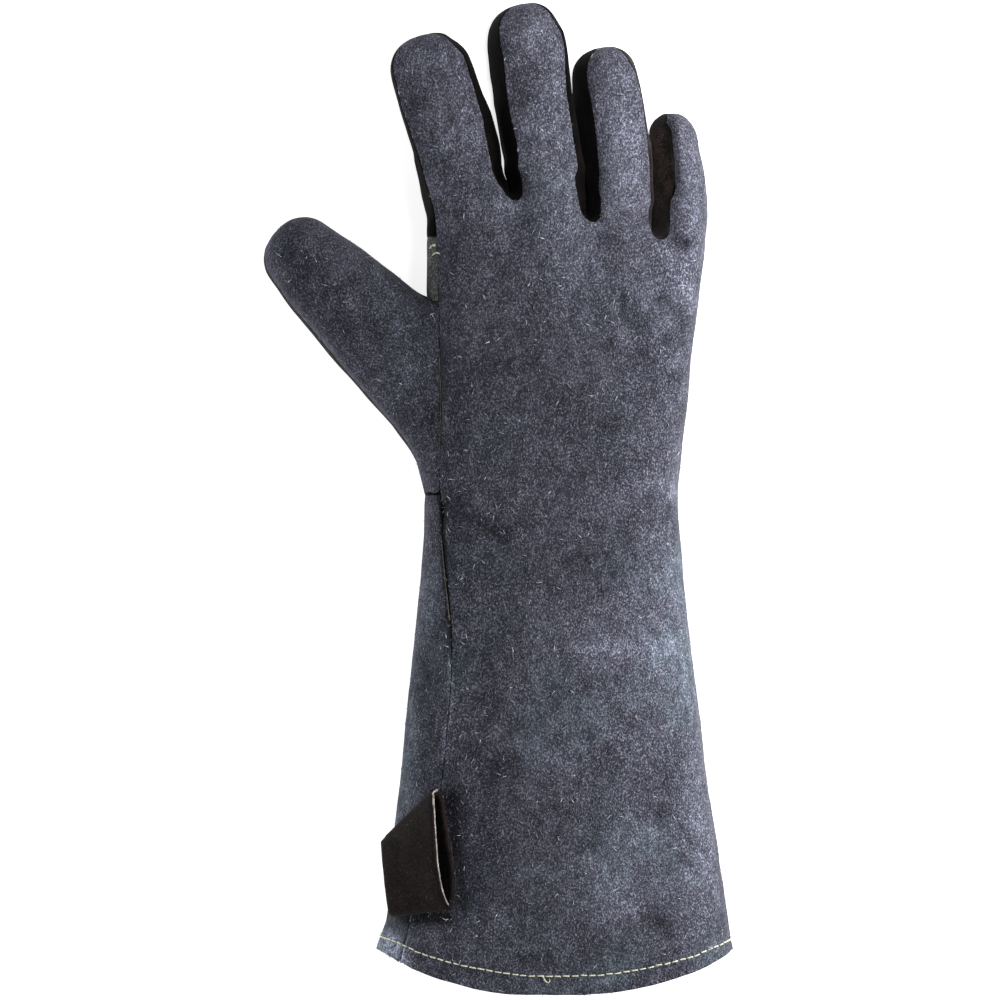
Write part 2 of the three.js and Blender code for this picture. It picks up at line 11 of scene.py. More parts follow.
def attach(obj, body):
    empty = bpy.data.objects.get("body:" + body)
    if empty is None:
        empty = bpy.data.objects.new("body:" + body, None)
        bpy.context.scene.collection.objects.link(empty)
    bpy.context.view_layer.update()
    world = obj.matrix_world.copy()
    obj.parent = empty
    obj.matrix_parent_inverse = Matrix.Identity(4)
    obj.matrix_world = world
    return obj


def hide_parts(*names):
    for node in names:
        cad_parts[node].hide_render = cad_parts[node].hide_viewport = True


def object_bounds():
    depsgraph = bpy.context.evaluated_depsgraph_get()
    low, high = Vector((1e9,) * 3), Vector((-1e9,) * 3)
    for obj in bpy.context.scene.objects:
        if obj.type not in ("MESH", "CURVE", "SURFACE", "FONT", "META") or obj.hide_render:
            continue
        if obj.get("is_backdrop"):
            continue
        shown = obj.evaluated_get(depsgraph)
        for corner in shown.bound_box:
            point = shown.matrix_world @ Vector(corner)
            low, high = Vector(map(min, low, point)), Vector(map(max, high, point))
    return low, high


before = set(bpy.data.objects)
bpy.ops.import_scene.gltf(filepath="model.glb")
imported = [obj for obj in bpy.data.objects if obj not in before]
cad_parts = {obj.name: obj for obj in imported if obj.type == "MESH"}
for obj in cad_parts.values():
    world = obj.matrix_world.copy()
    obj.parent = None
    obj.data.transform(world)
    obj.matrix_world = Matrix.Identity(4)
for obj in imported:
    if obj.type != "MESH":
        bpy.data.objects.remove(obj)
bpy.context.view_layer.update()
scene = bpy.context.scene
mm = 0.001


def addObject(name, data):
    made = bpy.data.objects.new(name, data)
    scene.collection.objects.link(made)
    return made


# camera straight above the glove, fingers up, far off, because the photograph shows next to no perspective
# frameWidth is what fills the picture at the height atHeight
camera = dict(lens=900, sensor=36, frameWidth=409, atHeight=18, x=0.7, y=-0.8, farthest=20000)
camData = bpy.data.cameras.new("camera")
camData.lens = camera["lens"]
camData.sensor_width = camera["sensor"]
camData.clip_end = camera["farthest"] * mm
camObject = addObject("camera", camData)
distance = camera["frameWidth"] * camera["lens"] / camera["sensor"] + camera["atHeight"]
camObject.location = (camera["x"] * mm, camera["y"] * mm, distance * mm)
scene.camera = camObject
scene.view_settings.view_transform = "Standard"


def hexColour(code):
    parts = [int(code[i:i + 2], 16) / 255 for i in (1, 3, 5)]
    return tuple(c / 12.92 if c <= 0.04045 else ((c + 0.055) / 1.055) ** 2.4 for c in parts) + (1.0,)


def addNode(tree, kind, inputs=None, **settings):
    # an input given as a socket is linked, any other is set
    made = tree.nodes.new(kind)
    for key, value in settings.items():
        setattr(made, key, value)
    for key, value in (inputs or {}).items():
        if isinstance(value, bpy.types.NodeSocket):
            tree.links.new(value, made.inputs[key])
        else:
            made.inputs[key].default_value = value
    return made


def newMaterial(name):
    material = bpy.data.materials.new(name)
    material.use_nodes = True
    tree = material.node_tree
    tree.nodes.clear()
    return material, tree, addNode(tree, "ShaderNodeTexCoord").outputs["Object"]


def addSurface(tree, inputs):
    shader = addNode(tree, "ShaderNodeBsdfPrincipled", inputs)
    addNode(tree, "ShaderNodeOutputMaterial", {"Surface": shader.outputs[0]})


def noisePatterns(tree, place, patterns):
    # for each name: size in mm, detail and roughness, then, where it has them, stretch, turn and shift
    made = {}
    for name, (size, detail, roughness, *moved) in patterns.items():
        source = place
        if moved:
            stretch, turn, shift = moved
            source = addNode(tree, "ShaderNodeMapping", {"Vector": place, "Scale": (1, stretch, 1),
                             "Rotation": (0, 0, math.radians(turn)), "Location": (shift, shift, 0)}).outputs[0]
        made[name] = addNode(tree, "ShaderNodeTexNoise", {"Vector": source, "Scale": 1 / (size * mm),
                             "Detail": detail, "Roughness": roughness}).outputs[0]
    return made


def layColours(tree, colour, layers):
    # each colour covers the ones before it where its pattern runs from start to full
    for pattern, start, full, most, over in layers:
        share = addNode(tree, "ShaderNodeMapRange", {0: pattern, 1: start, 2: full, 4: most}).outputs[0]
        colour = addNode(tree, "ShaderNodeMix", {0: share, 6: colour, 7: hexColour(over)}, data_type="RGBA").outputs[2]
    return colour


def scaleColour(tree, colour, shades):
    # the colour's strength goes from before to after where a pattern runs from start to full
    for pattern, start, full, before, after in shades:
        share = addNode(tree, "ShaderNodeMapRange", {0: pattern, 1: start, 2: full, 3: before, 4: after}).outputs[0]
        colour = addNode(tree, "ShaderNodeVectorMath", {0: colour, "Scale": share}, operation="SCALE").outputs[0]
    return colour


# split cowhide, the flesh side brushed up: short fibres that catch the light, cloudy dye
# real fibres are far finer than a pixel of the render, so the nap is drawn at 0.4 to 0.8 mm to show
suedeLook = dict(
    base="#3b3b45", dark="#17171e", light="#747582", cool="#3f4950", deep="#2f2f38",
    patterns=dict(nap=(0.8, 2, 0.6), strand=(0.42, 1, 0.5, 0.45, 20, 0), crossStrand=(0.42, 1, 0.5, 0.45, 110, 3.1),
                  which=(2.5, 1, 0.55), cloud=(42, 4, 0.6), cool=(38, 3, 0.6, 1, 0, 5.3),
                  mottle=(4.8, 4, 0.7, 0.65, -35, 4.4), patch=(16, 3, 0.6, 1, 0, 1.7), dents=(6, 3, 0.55)),
    strandShare=0.55, dentShare=0.8, coolFade=(0.03, -0.04), coolShares=(0.21, 0.7),
    bump=dict(Strength=0.5, Distance=0.5 * mm),
    finish={"Roughness": 0.92, "IOR": 1.45, "Specular IOR Level": 0.15, "Sheen Weight": 0.09, "Sheen Roughness": 0.5,
            "Sheen Tint": hexColour("#b9bccb")})
tabLook = dict(suedeLook, base="#484a4b", light="#8b8c85", deep="#3c3e3d")


def suede(name, look):
    material, tree, place = newMaterial(name)
    made = noisePatterns(tree, place, look["patterns"])
    # the strands lie one way in some spots and across it in others
    which = addNode(tree, "ShaderNodeMapRange", {0: made["which"], 1: 0.45, 2: 0.55}).outputs[0]
    strand = addNode(tree, "ShaderNodeMix", {0: which, 2: made["strand"], 3: made["crossStrand"]}).outputs[0]
    pile = addNode(tree, "ShaderNodeMix", {0: look["strandShare"], 2: made["nap"], 3: strand}).outputs[0]
    # the cuff is a cooler blue than the hand
    lengthways = addNode(tree, "ShaderNodeSeparateXYZ", {0: place}).outputs[1]
    coolMost = addNode(tree, "ShaderNodeMapRange", {0: lengthways, 1: look["coolFade"][0], 2: look["coolFade"][1],
                       3: look["coolShares"][0], 4: look["coolShares"][1]}).outputs[0]
    colour = layColours(tree, hexColour(look["deep"]), (
        (made["cloud"], 0.35, 0.65, 1.0, look["base"]), (made["cool"], 0.46, 0.66, coolMost, look["cool"]),
        (pile, 0.5, 0.37, 0.75, look["dark"]), (pile, 0.51, 0.63, 0.78, look["light"])))
    # tone carries dye marks and scuffs together with painted light and shade
    tone = addNode(tree, "ShaderNodeAttribute", attribute_name="tone").outputs["Fac"]
    colour = scaleColour(tree, colour, (
        (made["mottle"], 0.32, 0.5, 0.62, 1.0), (made["mottle"], 0.5, 0.68, 1.0, 1.5),
        (made["patch"], 0.35, 0.65, 0.86, 1.22), (tone, 0.0, 2.0, 1.0, 3.2), (tone, 0.0, -2.0, 1.0, 0.12)))
    relief = addNode(tree, "ShaderNodeMath", {0: made["dents"], 1: look["dentShare"], 2: pile},
                     operation="MULTIPLY_ADD").outputs[0]
    bump = addNode(tree, "ShaderNodeBump", dict(look["bump"], Height=relief)).outputs[0]
    addSurface(tree, {"Base Color": colour, "Normal": bump, **look["finish"]})
    return material


# black dyed split leather, thinner and less brushed: soft brown-black with few pale specks
blackLook = dict(
    base="#0d0a0a", brown="#1d1615", dark="#040303", speck="#4d4541", fuzz="#322624",
    patterns=dict(nap=(0.9, 2, 0.6), cloud=(6, 4, 0.6), fuzz=(0.5, 2, 0.6, 0.6, 30, 6.1),
                  specks=(1.1, 1, 0.5, 1, 0, 2.2), dents=(5, 3, 0.55)),
    dentShare=0.8, bump=dict(Strength=0.4, Distance=0.35 * mm), roughness=0.85, shine=0.12)
# side walls deep between the fingers, and the index finger's side strip: a darker copy of the black leather, painted
# shade; then the little finger's, which faces the light: a lighter brown copy, painted light
shadedWallLook = dict(blackLook, base="#040303", brown="#0c0908", dark="#010101", speck="#1c1817", fuzz="#110d0c",
                shine=0.04)
litLittleWallLook = dict(blackLook, base="#171212", brown="#2d2423", fuzz="#463a37")


def blackSplit(name, look):
    material, tree, place = newMaterial(name)
    made = noisePatterns(tree, place, look["patterns"])
    colour = layColours(tree, hexColour(look["base"]), (
        (made["cloud"], 0.4, 0.64, 1.0, look["brown"]), (made["nap"], 0.5, 0.34, 0.8, look["dark"]),
        (made["fuzz"], 0.54, 0.66, 0.8, look["fuzz"]), (made["specks"], 0.7, 0.78, 0.7, look["speck"])))
    # tone carries dye marks together with painted light and shade
    tone = addNode(tree, "ShaderNodeAttribute", attribute_name="tone").outputs["Fac"]
    colour = scaleColour(tree, colour, ((tone, 0.0, 2.0, 1.0, 3.2), (tone, 0.0, -2.0, 1.0, 0.1)))
    relief = addNode(tree, "ShaderNodeMath", {0: made["dents"], 1: look["dentShare"], 2: made["nap"]},
                     operation="MULTIPLY_ADD").outputs[0]
    bump = addNode(tree, "ShaderNodeBump", dict(look["bump"], Height=relief)).outputs[0]
    addSurface(tree, {"Base Color": colour, "Normal": bump, "Roughness": look["roughness"], "IOR": 1.45,
               "Specular IOR Level": look["shine"], "Sheen Weight": look["shine"] / 4})
    return material


suedeMaterial = suede("brushed_split_suede", suedeLook)
blackMaterial = blackSplit("black_split_leather", blackLook)
shadedWallMaterial = blackSplit("side_wall_leather_painted_shade", shadedWallLook)
litLittleWallMaterial = blackSplit("little_side_wall_leather_painted_light", litLittleWallLook)
tabMaterial = suede("crotch_patch_suede", tabLook)
print("materials made")


def finish(name, mesh, material, replaced=()):
    piece = addObject(name, mesh)
    mesh.materials.clear()
    mesh.materials.append(material)
    for polygon in mesh.polygons:
        polygon.use_smooth = True
    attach(piece, "root")
    if replaced:
        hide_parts(*replaced)
    return piece


# leather panels: the solids' own quads, rounded by subdivision, with their cut edges kept
# sheetDepth: looking into the leather from a cut edge reaches further than this, from a face it doesn't
panelLook = dict(mergeWithin=0.01, faceBend=40, cornerBend=70, rimAngle=35, rimCrease=0.6, levels=2, fineLevels=3,
                 sheetDepth=3.4, justInside=0.05, cornersBelow=110, edgeHold=0.6, mostHold=1.2)


def cutWalk(face, entry):
    # round a panel's cut edge from one of its small faces to the next, with the ends of the joints between them
    first, faces, joints = face, [], []
    while face not in faces:
        faces.append(face)
        joints.append(sorted((tuple(vert.co) for vert in entry.verts), key=lambda place: place[2]))
        others = [edge for edge in face.edges if edge is not entry]
        if len(others) == 3:
            entry = [edge for edge in others if not set(edge.verts) & set(entry.verts)][0]
        else:
            entry = min(others, key=lambda edge: abs(edge.calc_face_angle()))
        face = [other for other in entry.link_faces if other is not face][0]
    return (faces, joints) if face is first else ([], [])


def findCutEdge(bm, node, look):
    # for each face, whether it is on the leather's cut edge, and the joints that run round that edge
    tree = BVHTree.FromBMesh(bm)
    cutEdge = {}
    for face in bm.faces:
        start = face.calc_center_median() - face.normal * look["justInside"] * mm
        reach = tree.ray_cast(start, -face.normal)[3]
        cutEdge[face] = reach is None or reach > look["sheetDepth"] * mm
    loop, best = [], 0
    for face in [face for face in bm.faces if cutEdge[face] and len(face.verts) == 4]:
        for edge in face.edges:
            faces, joints = cutWalk(face, edge)
            sure = sum(cutEdge[other] for other in faces)
            if sure > best:
                edgeFaces, loop, best = faces, joints, sure
    if node != "hanging_loop" and best:
        cutEdge.update((face, face in edgeFaces) for face in bm.faces)
    return cutEdge, loop


def creaseEdges(bm, cutEdge, look):
    # creased rims and corners stay sharp under subdivision; returns how much each point is to be held
    corner = bm.verts.layers.float.new("crease_vert")
    hold = []
    for vert in bm.verts:
        sheet = [face for face in vert.link_faces if not cutEdge[face]]
        if len(sheet) == 1 and len(vert.link_faces) > 2 and vert.co.y < look["cornersBelow"] * mm:
            vert[corner] = 1.0
        hold.append(1.0 if len(sheet) == len(vert.link_faces) else look["edgeHold"])
    crease = bm.edges.layers.float.new("crease_edge")
    for edge in bm.edges:
        one, other = edge.link_faces
        if cutEdge[one] != cutEdge[other] and edge.calc_face_angle() > math.radians(look["rimAngle"]):
            edge[crease] = look["rimCrease"]
    return np.array(hold)


def panelMesh(node, look):
    bm = bmesh.new()
    bm.from_mesh(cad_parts[node].data)
    bmesh.ops.remove_doubles(bm, verts=bm.verts, dist=look["mergeWithin"] * mm)
    bmesh.ops.join_triangles(bm, faces=bm.faces, angle_face_threshold=math.radians(look["faceBend"]),
                             angle_shape_threshold=math.radians(look["cornerBend"]))
    bm.normal_update()
    cutEdge, loop = findCutEdge(bm, node, look)
    hold = creaseEdges(bm, cutEdge, look)
    mesh = bpy.data.meshes.new(node + "_skin")
    bm.to_mesh(mesh)
    bm.free()
    shaped = addObject("shaping", mesh)
    smooth = shaped.modifiers.new("smooth", "SUBSURF")
    smooth.levels = smooth.render_levels = look["fineLevels"] if node == "back_panel" else look["levels"]
    # subdividing draws the points in, so they are pushed out by as much first
    wanted = readPlaces(mesh)
    bpy.context.view_layer.update()
    smoothed = shaped.evaluated_get(bpy.context.evaluated_depsgraph_get()).data
    off = wanted - readPlaces(smoothed)[:len(wanted)]
    length = np.linalg.norm(off, axis=1, keepdims=True)
    off *= np.minimum(1, look["mostHold"] * mm / np.maximum(length, 1e-9)) * hold[:, None]
    writePlaces(mesh, wanted + off)
    result = bpy.data.meshes.new_from_object(shaped.evaluated_get(bpy.context.evaluated_depsgraph_get()))
    bpy.data.objects.remove(shaped)
    return result, loop


def readPlaces(mesh):
    place = np.empty(len(mesh.vertices) * 3)
    mesh.vertices.foreach_get("co", place)
    return place.reshape(-1, 3)


def writePlaces(mesh, place):
    mesh.vertices.foreach_set("co", np.ascontiguousarray(place).ravel())
    mesh.update()


# creases and hollows of the back, in mm: start, end, half width, rise (a hollow is negative)
folds = [
    ((-18, -5), (1.5, -16), 3.2, -1.4), ((-17, -19), (2, -24), 4.5, 0.6),  # pulled at the wrist
    ((73, 105), (75.5, 104), 2.8, -3.2), ((62, 103), (76, 85), 2.6, 1.1),  # under the little finger
    ((66, 82), (75, 74), 2.6, -1.2), ((65, 24), (69, 21), 5.0, -1.0), ((60, 6), (66, 3), 5.0, 0.9),
    ((40, 96), (50, 62), 3.2, 0.5), ((48, 82), (64, 48), 4.0, -0.55),  # tendons
    ((14, 94), (8, 60), 5.0, -0.5), ((-14, 42), (-11, 26), 5.0, 0.6), ((46, 17), (50, 15), 2.6, 0.6),
    ((42, -124), (54, -131), 2.0, 0.6), ((56, -116), (68, -122), 5.0, -0.7), ((64, -170), (67, -174), 5.0, -1.2),
    ((36, -140), (38, -142), 5.0, -0.8), ((14, -187), (18, -188), 5.0, -0.7), ((0, -110), (4, -111), 7.0, -0.6),
    ((-29, -64), (-27, -86), 4.5, -1.6), ((-21, -60), (-22, -84), 2.2, 0.9), ((-22, -84), (-24, -108), 2.6, 0.7),
    ((44, -23), (50, -25), 5.0, -0.7), ((-60, 70), (-52, 60), 6.0, -0.8), ((-38, 62), (-30, 50), 3.5, -0.7)]
foldHeights = (13, 22)  # folds come in between these
# swells and hollows: size and rise of three noises, and the height under which the leather keeps to the floor
sag = dict(noises=((28, 0.7), (9, 0.3), (4.0, 0.08)), floorFade=7)
# places pushed aside, in mm: start, end, half width, height, reach in height, move
nudges = [
    ((-46, -170), (-46, -168), 8, 25, 99, (2.0, 0)), ((-49, -186), (-49, -185), 5, 25, 99, (-0.9, 0.8)),  # cuff
    ((-33, 137), (-29.5, 119), 4, 12, 12, (-0.8, 0)), ((-18, 188), (-17, 186), 4, 14, 20, (-0.8, -1.0)),  # index finger
    ((-9, 162), (0, 140), 3.6, 9, 7, (1.2, 0)), ((-5.5, 150), (-2.5, 140), 3.2, 24, 7, (-0.6, 0)),
    ((1.4, 134), (2.6, 128), 3.2, 25, 10, (-2.4, 0)), ((8.3, 131), (9.5, 124), 2.6, 25, 99, (1.3, -0.4)),
    ((4.6, 124.5), (6.8, 122.5), 1.8, 25, 99, (-1.1, -0.8)),
    ((24, 190), (33.5, 136), 3.4, 20, 6, (1.9, 0)),  # middle finger
    ((34.4, 131), (35.6, 117), 3.0, 27, 6, (-2.0, 0)), ((40.2, 122), (40.2, 116), 2.2, 25, 99, (1.0, 0)),
    ((37, 113.5), (39, 113.5), 2.5, 25, 99, (0, -1.3)),
    ((55.5, 174), (61.8, 122), 3.2, 22, 6, (1.5, 0)),  # ring finger
    ((70.3, 150), (71.3, 126), 3, 19, 8, (1.3, 0)), ((69.5, 157), (69.8, 154), 2.4, 14, 9, (-1.0, 0))]  # little finger
# side walls drawn together at the roots of the fingers: upper and lower end, half width, share
pinches = [((2.6, 134), (6.0, 124), 5.0, 1.0), ((-2.5, 160), (2.0, 139), 2.6, 0.5),
           ((35.2, 132), (36.3, 115), 3.0, 0.97), ((62.6, 146), (62.8, 108), 2.4, 0.9)]
pinchHeights = (22, 18)  # the rims keep their places
pinchEnds = 3
# the hem's row of stitches, x and y in mm
hemRow = [(-50, -178.4), (-41, -181.2), (-30.4, -186.1), (-20, -189.3), (-10.3, -191.4), (0, -193.2), (12.2, -194.7),
          (25.3, -194.9), (42.4, -194.3), (55, -192.7), (64.9, -190.6), (78.8, -187.3), (93.1, -181.2), (97, -179.4)]
hemLook = dict(middle=(22.7, 24), groove=0.35, grooveWidth=1.3, grooveFull=4, pitch=3.5, stitch=3.0, thread=0.29,
               wander=0.14, seed=3, startY=-176, searches=5, degrees=2, floorClear=0.9)


def rowAt(x):
    return np.interp(x, [at[0] for at in hemRow], [at[1] for at in hemRow])


def ramp(value, start, full):
    return np.clip((value - start) / (full - start), 0, 1)


def awayFrom(place, start, end):
    # distance, seen from above, from a stroke
    start, run = np.array(start, float), np.subtract(end, start)
    along = np.clip(((place[:, :2] - start) @ run) / (run @ run), 0, 1)
    return np.linalg.norm(place[:, :2] - start - along[:, None] * run, axis=1)


def worn(place):
    # where points of the new leather, in metres, lie on the creased glove
    place = np.asarray(place) / mm
    moved = place.copy()
    upper = ramp(place[:, 2], *foldHeights)
    for start, end, width, rise in folds:
        moved[:, 2] += rise * upper * np.exp(-(awayFrom(place, start, end) / width) ** 2)
    under = ramp(place[:, 2], *pinchHeights)
    for (topX, topY), (lowX, lowY), width, share in pinches:
        aside = place[:, 0] - np.interp(place[:, 1], (lowY, topY), (lowX, topX))
        past = np.maximum(np.maximum(lowY - place[:, 1], place[:, 1] - topY), 0)
        moved[:, 0] -= aside * share * under * np.exp(-(aside / width) ** 2 - (past / pinchEnds) ** 2)
    for start, end, width, height, reach, move in nudges:
        share = np.exp(-(awayFrom(place, start, end) / width) ** 2 - ((place[:, 2] - height) / reach) ** 2)
        moved[:, :2] += share[:, None] * np.array(move)
    out = place[:, [0, 2]] - np.array(hemLook["middle"])
    out /= np.linalg.norm(out, axis=1, keepdims=True)
    dip = hemLook["groove"] * np.exp(-((place[:, 1] - rowAt(place[:, 0])) / hemLook["grooveWidth"]) ** 2)
    moved[:, [0, 2]] -= out * (dip * ramp(place[:, 2], 0, hemLook["grooveFull"]))[:, None]
    for size, rise in sag["noises"]:
        push = np.array([[smoothNoise.noise(Vector(p / size + shift)) for shift in (0.0, 31.7, 57.3)] for p in place])
        push *= rise
        push[:, 2] *= ramp(place[:, 2], 0, sag["floorFade"])
        moved += push
    return moved * mm


# lighter and darker places, in mm: middle, half sizes, tone; a few are dye and scuffs, most are painted light and
# shade: the fingers and the right of the hand and cuff lighter, the thumb, the hand's middle and left and the wrist
# darker
dyeLightAndShadePatches = [
    ((48, -61), (20, 13), 0.5), ((48, -157), (13, 15), 0.5), ((70, -40), (9, 40), 0.3), ((82, -130), (8, 34), 0.35),
    ((75, 92), (6, 22), 0.5), ((30, 112), (14, 8), 0.3), ((-34, 178), (8, 8), 0.35), ((10, 195), (9, 8), 0.4),
    ((66, 58), (7, 24), 0.25), ((64, 2), (10, 8), 0.35), ((-45, -186), (7, 5), 1.0), ((-36, -190), (8, 4), 0.5),
    ((-62, 74), (26, 22), -0.6), ((-30, 56), (10, 20), -0.35), ((0, 92), (14, 8), -0.25), ((2, 62), (20, 30), -0.15),
    ((-5, -9), (14, 8), -0.35), ((30, -24), (34, 9), -0.35), ((20, 50), (34, 34), -0.25), ((-12, -30), (14, 40), -0.2),
    ((-8, -120), (20, 50), -0.2), ((50, 148), (12, 32), 0.5), ((78, 128), (7, 26), 0.4), ((64, -75), (22, 46), 0.35),
    ((66, -150), (24, 34), 0.15), ((-22, 150), (14, 36), 0.15), ((66, 40), (14, 50), 0.12), ((18, 165), (12, 36), 0.2),
    ((15, 50), (36, 36), -0.2), ((-31, -80), (5, 18), -0.4)]
# more of them as strokes: start, end, half width, tone; mostly painted shade in the creases and hollows and painted
# highlights on the ridges and the strip's raised edge, with the loop's painted shadow, a band of painted shade down the
# right side and pale scuffs at the hem's corner
dyeLightAndShadeStrokes = [
    ((-21, -3.3), (-1, -14.5), 3.4, -0.8), ((-15.2, -20.4), (0.7, -21.3), 5, 0.3), ((44, -58), (63, -64), 6, 0.25),
    ((59, -1), (74, -9), 4.5, -0.5), ((37.5, -23.7), (43.2, -23.7), 4, -0.5), ((57, 5), (68, 5), 3.5, 0.4),
    ((-21, -55.6), (-18.9, -85), 1.0, 1.0), ((-18.9, -85), (-23.8, -109), 1.1, 0.8), ((-28, -62), (-28, -103), 4, -0.4),
    ((-31, -15), (-36, -110), 6, 0.2),
    ((34.7, -141), (40, -141), 3, -0.8), ((62, -123.5), (67.8, -128.4), 2.8, -0.7),
    ((61, -170.6), (68, -174.6), 3.6, -1.0),
    ((9, -187), (20, -187), 2.6, -0.8), ((-5.4, -110.4), (2.8, -112), 3, -0.5), ((52, -129.7), (85, -148.5), 1.1, 0.6),
    ((37, -152), (52, -170), 6, 0.4), ((0.7, -97), (29, -109), 5, 0.3), ((33, -197), (52, -196), 2, 0.4),
    ((-43.5, -171.6), (-21, -171), 2.8, -2.6), ((-19, -121.5), (-14.4, -166), 3.2, -1.5),  # shade of the loop
    ((-23.2, -3), (-19.4, -62), 1.2, -2.0), ((-45.5, -174.5), (-42.5, -179), 1.8, 1.3),
    ((-42.5, -182), (-39.5, -186), 2.0, 1.2),
    ((84, 0), (97, -180), 4, -0.35), ((-48.4, -181), (-38.5, -185), 3.5, 0.6), ((-28, -25), (-28, -50), 3.5, 0.3),
    ((64, 99), (78, 81), 4, 0.5), ((66, 81), (76, 71), 2, -0.6), ((72, 105.5), (76.5, 104.5), 2.6, -1.0),
    ((37.5, 101), (54, 60), 2.2, 0.4), ((46.5, 96.5), (64, 45), 3, -0.35), ((25, 63), (25, 70), 8, -0.2),
    ((-69, 109), (-30, 81), 3, -0.4), ((-83, 98), (-79, 92), 6, -0.35), ((-40, 77), (-36, 69), 3, -0.4),
    ((-48, 65), (-50, 56), 4, 0.2), ((-81, 73), (-69, 60.5), 3, 0.25), ((12.6, 178), (17, 176), 3.5, -0.4),
    ((-25, 173), (-20, 171), 3.5, -0.3), ((10.5, 132), (12, 126), 2.6, -0.6), ((41, 142), (41.5, 124), 1.6, -0.6),
    ((-40, 177), (-38, 181), 4, 0.4)]
toneHeights = (11, 17)  # the tone's marks, dye and scuffs with painted light and shade, come in between these
rimShade = dict(depth=2.0, reach=3.4)


# the tone attribute: dye marks and scuffs together with painted light and shade, from the patches and strokes
def paintToneLightAndShade(mesh, rim=()):
    place = readPlaces(mesh) / mm
    tone = np.zeros(len(mesh.vertices))
    upper = ramp(place[:, 2], *toneHeights)
    for middle, half, strength in dyeLightAndShadePatches:
        reach = ((place[:, :2] - np.array(middle)) / np.array(half)) ** 2
        tone += strength * upper * np.exp(-reach.sum(1))
    for start, end, width, strength in dyeLightAndShadeStrokes:
        tone += strength * upper * np.exp(-(awayFrom(place, start, end) / width) ** 2)
    if len(rim):  # darker under the suede's edge
        tree = KDTree(len(rim))
        for i, spot in enumerate(rim):
            tree.insert(spot, i)
        tree.balance()
        away = np.array([tree.find(spot)[2] for spot in place])
        tone -= rimShade["depth"] * np.exp(-(away / rimShade["reach"]) ** 2)
    mesh.attributes.new("tone", "FLOAT", "POINT").data.foreach_set("value", tone)


panels = dict(
    back_panel=("back_of_glove", suedeMaterial, "suede"), thumb_back=("thumb_back_leather", suedeMaterial, "suede"),
    thumb_crotch_tab=("crotch_tab_leather", tabMaterial, "suede"),
    cuff_underside=("cuff_underside_leather", suedeMaterial, "suede"),
    palm_panel=("palm_leather", blackMaterial, "black_leather"),
    thumb_front=("thumb_front_leather", blackMaterial, "black_leather"),
    # the darker copy, painted shade, on the index strip and the walls from index to ring; the lighter copy, painted
    # light, on the ring and little finger's walls
    index_side_strip=("index_side_leather", shadedWallMaterial, "black_leather"),
    fourchette_index_middle=("side_walls_index_middle", shadedWallMaterial, "black_leather"),
    fourchette_middle_ring=("side_walls_middle_ring", shadedWallMaterial, "black_leather"),
    fourchette_ring_little=("side_walls_ring_little", litLittleWallMaterial, "black_leather"),
    hanging_loop=("loop_band", blackMaterial, "black_leather"))
dressed, seams = {}, {}
for node, (name, material, slot) in panels.items():
    skin, loop = panelMesh(node, panelLook)
    if node != "hanging_loop":
        writePlaces(skin, worn(readPlaces(skin)))
        seams[node] = [worn([joint[end] for joint in loop]) / mm for end in (0, 1)]
    paintToneLightAndShade(skin, seams["back_panel"][1] if node == "fourchette_ring_little" else ())
    dressed[node] = finish(name, skin, material, (node,))
print("panels made")

# everything that repeats or follows a line is grown by geometry nodes and baked to a plain mesh


def nodeGroup(name, sizes):
    tree = bpy.data.node_groups.new(name, "GeometryNodeTree")
    tree.interface.new_socket("Geometry", in_out="INPUT", socket_type="NodeSocketGeometry")
    for label, kind in sizes.items():
        tree.interface.new_socket(label, in_out="INPUT", socket_type="NodeSocket" + kind)
    tree.interface.new_socket("Geometry", in_out="OUTPUT", socket_type="NodeSocketGeometry")
    return tree, addNode(tree, "NodeGroupInput").outputs


def bakeNodes(name, mesh, tree, values, material):
    grown = addObject(name, mesh)
    modifier = grown.modifiers.new("grow", "NODES")
    modifier.node_group = tree
    for socket in tree.interface.items_tree:
        if socket.in_out == "INPUT" and socket.name in values:
            modifier[socket.identifier] = values[socket.name]
    bpy.context.view_layer.update()
    baked = bpy.data.meshes.new_from_object(grown.evaluated_get(bpy.context.evaluated_depsgraph_get()))
    grown.modifiers.clear()
    bpy.data.objects.remove(grown)
    return finish(name, baked, material, ())


def lineMesh(lines):
    points, edges = [], []
    for line, closed in lines:
        first = len(points)
        points += [tuple(np.asarray(p) * mm) for p in line]
        edges += [(first + i, first + i + 1) for i in range(len(line) - 1)]
        if closed:
            edges.append((len(points) - 1, first))
    mesh = bpy.data.meshes.new("line")
    mesh.from_pydata(points, edges, [])
    return mesh


def endTree(tree, geometry, material):
    real = addNode(tree, "GeometryNodeRealizeInstances", {0: geometry})
    painted = addNode(tree, "GeometryNodeSetMaterial", {0: real.outputs[0], "Material": material})
    addNode(tree, "NodeGroupOutput", {0: painted.outputs[0]})
    return tree


def tubeAlongLine():
    tree, given = nodeGroup("tube_along_line", {"Radius": "Float", "Step": "Float", "Material": "Material"})
    line = addNode(tree, "GeometryNodeMeshToCurve", {0: given["Geometry"]})
    line = addNode(tree, "GeometryNodeCurveSplineType", {0: line.outputs[0]}, spline_type="CATMULL_ROM")
    line = addNode(tree, "GeometryNodeResampleCurve", {0: line.outputs[0], "Length": given["Step"]}, mode="LENGTH")
    circle = addNode(tree, "GeometryNodeCurvePrimitiveCircle", {"Resolution": 8, "Radius": given["Radius"]})
    tube = addNode(tree, "GeometryNodeCurveToMesh", {0: line.outputs[0], 1: circle.outputs[0], "Fill Caps": True})
    return endTree(tree, tube.outputs[0], given["Material"])


tubeTree = tubeAlongLine()


